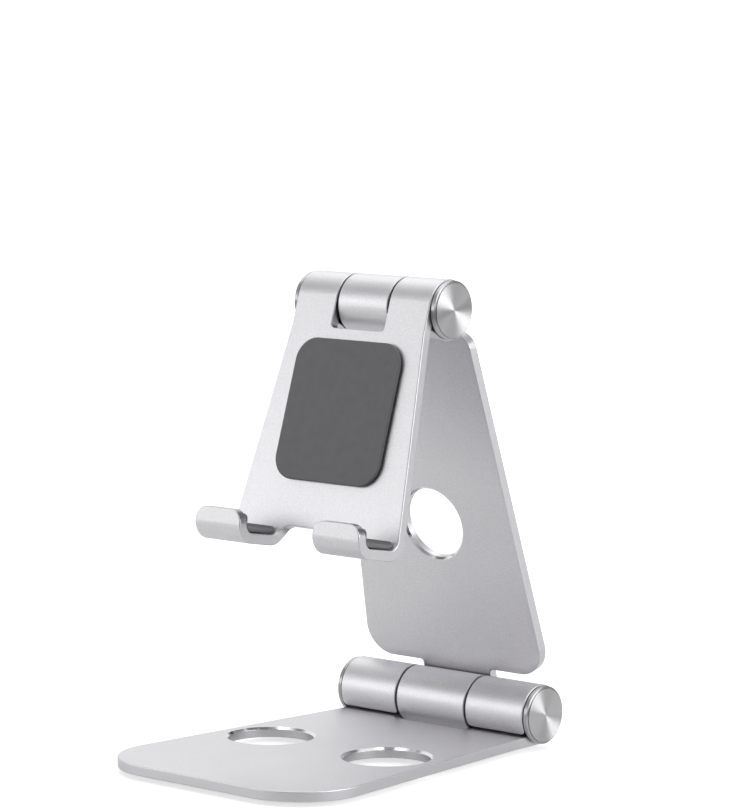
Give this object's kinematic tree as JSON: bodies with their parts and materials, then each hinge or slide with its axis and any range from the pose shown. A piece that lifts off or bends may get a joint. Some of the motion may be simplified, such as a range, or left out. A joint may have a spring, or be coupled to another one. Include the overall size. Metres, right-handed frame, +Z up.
{
  "type": "tablet stand",
  "caption": "Folding desk stand for a small tablet: bent-sheet base, arm and hooked holder panel joined by friction hinges.",
  "frame": {"origin": "on the table, under the middle of the stand's bounding box", "axes": "+Z up, +X along both hinge axes, the user stands on the -Y side"},
  "size_m": [0.0712, 0.102, 0.1196],
  "materials": {
    "anodised_aluminium": "bead-blasted, clear anodised, satin",
    "turned_aluminium": "face turned to fine rings, bright chamfer",
    "steel": "ground",
    "bronze": "sintered, oiled",
    "nylon": "matte black",
    "silicone": "matte dark grey"
  },
  "bodies": {
    "base": {"base_plate": "anodised_aluminium", "foot_front_left": "silicone", "foot_front_right": "silicone", "foot_rear_left": "silicone", "foot_rear_right": "silicone", "lower_shaft": "steel", "lower_cap_left": "turned_aluminium", "lower_cap_right": "turned_aluminium", "lower_bush_left": "bronze", "lower_bush_right": "bronze", "lower_disc_spring_1": "steel", "lower_disc_spring_2": "steel", "lower_disc_spring_3": "steel", "lower_lock_nut": "steel", "lower_gasket_left": "nylon", "lower_gasket_right": "nylon"},
    "arm": {"arm_plate": "anodised_aluminium", "lower_friction_sleeve": "bronze", "upper_friction_sleeve": "bronze"},
    "panel": {"panel_plate": "anodised_aluminium", "upper_shaft": "steel", "upper_cap_left": "turned_aluminium", "upper_cap_right": "turned_aluminium", "upper_bush_left": "bronze", "upper_bush_right": "bronze", "upper_disc_spring_1": "steel", "upper_disc_spring_2": "steel", "upper_disc_spring_3": "steel", "upper_lock_nut": "steel", "upper_gasket_left": "nylon", "upper_gasket_right": "nylon", "panel_pad": "silicone", "hook_pad_left": "silicone", "hook_pad_right": "silicone"}
  },
  "joints": [
    {"name": "base_hinge", "type": "hinge", "parent": "base", "child": "arm", "pos_m": [0, 0.04345, 0.0088], "axis": [1, 0, 0], "range_deg": [-104.4, 38]},
    {"name": "holder_hinge", "type": "hinge", "parent": "arm", "child": "panel", "pos_m": [0, 0.01689, 0.11204], "axis": [1, 0, 0], "range_deg": [-148, 31.9]}
  ]
}
